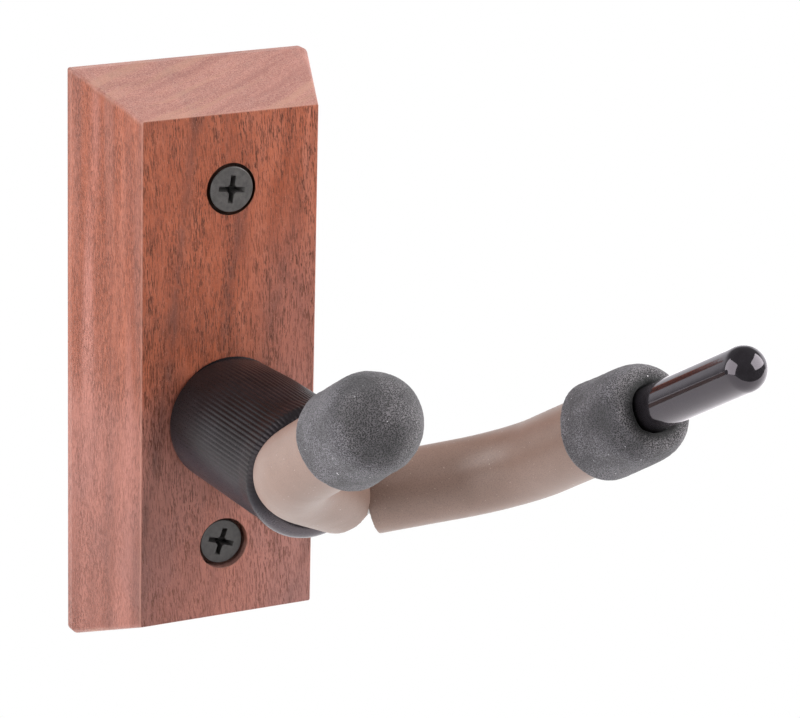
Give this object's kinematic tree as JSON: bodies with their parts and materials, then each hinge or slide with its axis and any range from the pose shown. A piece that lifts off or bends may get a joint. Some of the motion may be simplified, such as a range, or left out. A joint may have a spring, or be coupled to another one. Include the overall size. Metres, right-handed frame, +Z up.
{
  "type": "wall instrument hanger",
  "caption": "Wall hanger: bevelled wooden plate, ribbed rubber boot and a swivelling two-armed padded yoke with a peg for a bow.",
  "frame": {"origin": "centre of the wooden plate's back face, in the plane of the wall", "axes": "+X to the right seen from the room, +Y into the wall, +Z up; the yoke reaches out along -Y"},
  "size_m": [0.0662, 0.1784, 0.108],
  "materials": {
    "walnut_wood": "oiled, open grain",
    "black_screw_steel": "black phosphate, satin",
    "zinc_steel": "zinc plated",
    "mild_steel": "bare, drawn",
    "weld_steel": "as welded",
    "nylon": "natural",
    "black_rubber": "matt, ribbed",
    "beige_rubber": "matt",
    "charcoal_foam": "closed-cell foam",
    "gloss_vinyl": "gloss black"
  },
  "bodies": {
    "wall_base": {"wood_base": "walnut_wood", "upper_mounting_screw": "black_screw_steel", "lower_mounting_screw": "black_screw_steel", "front_thrust_washer": "zinc_steel", "rear_washer": "zinc_steel"},
    "yoke": {"lock_nut": "zinc_steel", "nut_nylon_ring": "nylon", "swivel_stem": "mild_steel", "weld_bead": "weld_steel", "spacer_sleeve": "zinc_steel", "hub_boot": "black_rubber", "yoke_rod": "mild_steel", "left_arm_tube": "beige_rubber", "right_arm_tube": "beige_rubber", "left_foam_cap": "charcoal_foam", "right_foam_collar": "charcoal_foam", "bow_peg_sleeve": "gloss_vinyl"}
  },
  "joints": [
    {"name": "yoke_swivel", "type": "hinge", "parent": "wall_base", "child": "yoke", "pos_m": [0, -0.01905, -0.0093], "axis": [0, -1, 0], "continuous": true}
  ]
}
